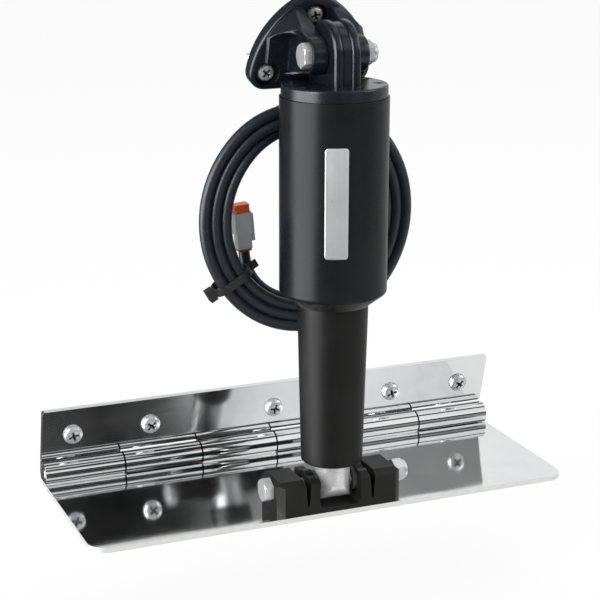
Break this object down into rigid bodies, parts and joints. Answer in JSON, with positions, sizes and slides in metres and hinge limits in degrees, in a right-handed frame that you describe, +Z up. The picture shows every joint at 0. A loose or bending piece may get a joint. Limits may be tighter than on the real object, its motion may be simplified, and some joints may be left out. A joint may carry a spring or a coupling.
{
  "type": "electric boat trim tab",
  "caption": "Hinged stainless trim tab for a boat's transom, with its electric linear actuator, brackets, coiled cable and plug.",
  "frame": {"origin": "on the hinge flange's back face where it lies on the transom, midway along the hinge and 34 mm above the hinge axis, measured along the transom, which leaves it clear of the screws", "axes": "+X along the hinge to starboard, +Y forward into the boat, +Z up; the transom's face leans 14 degrees back from upright, its top aft, and the tab lies level at rest"},
  "size_m": [0.3048, 0.1635, 0.3039],
  "materials": {
    "polished_stainless": "mirror polished stainless steel",
    "pin_stainless": "turned stainless steel",
    "screw_stainless": "bright stainless steel",
    "brass": "machined brass",
    "bronze": "machined bronze",
    "bracket_moulding": "fine-grained black glass-filled plastic",
    "cap_moulding": "semi-gloss blue-black glass-filled plastic",
    "bush_plastic": "dark bearing plastic",
    "ram_steel": "satin ground stainless steel",
    "screw_steel": "rolled steel thread",
    "gear_metal": "die-cast gear case",
    "motor_steel": "plated steel can",
    "bearing_steel": "ground bearing steel",
    "tube_moulding": "matte black plastic",
    "housing_moulding": "satin charcoal black plastic",
    "seal_rubber": "black rubber",
    "black_screws": "blackened steel",
    "gland_nylon": "black nylon",
    "cable_jacket": "satin blue-black cable jacket",
    "plug_orange": "orange-red plastic and silicone",
    "plug_grey": "light grey plastic",
    "tie_nylon": "black nylon"
  },
  "bodies": {
    "hinge_flange": {"hinge_flange": "polished_stainless", "hinge_pin": "pin_stainless", "flange_screws": "screw_stainless"},
    "tab": {"tab_plate": "polished_stainless", "lower_bracket": "bracket_moulding", "bracket_screws": "screw_stainless", "bracket_inserts": "brass", "lower_pivot_bolt": "screw_stainless", "lower_pivot_nut": "screw_stainless", "thrust_washers": "bush_plastic"},
    "ram": {"ram_tube": "ram_steel", "ram_bush": "bush_plastic", "drive_nut": "bronze"},
    "actuator": {"lower_tube": "tube_moulding", "wiper_seal": "seal_rubber", "rod_guide": "bush_plastic", "screw_bearing": "bearing_steel", "motor_housing": "housing_moulding", "gearbox": "gear_metal", "motor": "motor_steel", "top_cap": "cap_moulding", "eye_bush": "bush_plastic", "cap_screws": "black_screws", "cap_o_ring": "seal_rubber", "cable_gland": "gland_nylon", "strain_relief": "seal_rubber", "cable_lead": "cable_jacket", "cable_coil": "cable_jacket", "cable_tail": "cable_jacket", "plug_seal": "plug_orange", "plug_shell": "plug_grey", "plug_wedge": "plug_orange", "cable_tie": "tie_nylon"},
    "lead_screw": {"lead_screw": "screw_steel"},
    "upper_bracket": {"upper_bracket": "cap_moulding", "upper_bracket_screws": "screw_stainless", "upper_pivot_bolt": "screw_stainless", "upper_pivot_nut": "screw_stainless"}
  },
  "joints": [
    {"name": "tab_hinge", "type": "hinge", "parent": "hinge_flange", "child": "tab", "pos_m": [0, 0.00066, -0.03488], "axis": [1, 0, 0], "range_deg": [0, 35.43]},
    {"name": "lower_pivot", "type": "hinge", "parent": "tab", "child": "ram", "pos_m": [0, -0.09434, -0.02618], "axis": [-1, 0, 0], "range_deg": [0, 33.19]},
    {"name": "ram_slide", "type": "slide", "parent": "ram", "child": "actuator", "axis": [0, -0.0064, 1], "range_m": [0, 0.057]},
    {"name": "upper_pivot", "type": "hinge", "parent": "actuator", "child": "upper_bracket", "pos_m": [0, -0.09596, 0.22782], "axis": [-1, 0, 0], "range_deg": [0, 2.25]},
    {"name": "screw_spin", "type": "hinge", "parent": "actuator", "child": "lead_screw", "pos_m": [0, -0.09473, 0.03382], "axis": [0, -0.0064, 1], "range_deg": [0, 8078.84]}
  ],
  "couplings": [
    {"joint": "tab_hinge", "follows": "ram_slide", "rad_per_m": 10.848},
    {"joint": "lower_pivot", "follows": "ram_slide", "rad_per_m": 10.161},
    {"joint": "upper_pivot", "follows": "ram_slide", "rad_per_m": 0.68757},
    {"joint": "screw_spin", "follows": "ram_slide", "rad_per_m": 2473.7}
  ]
}
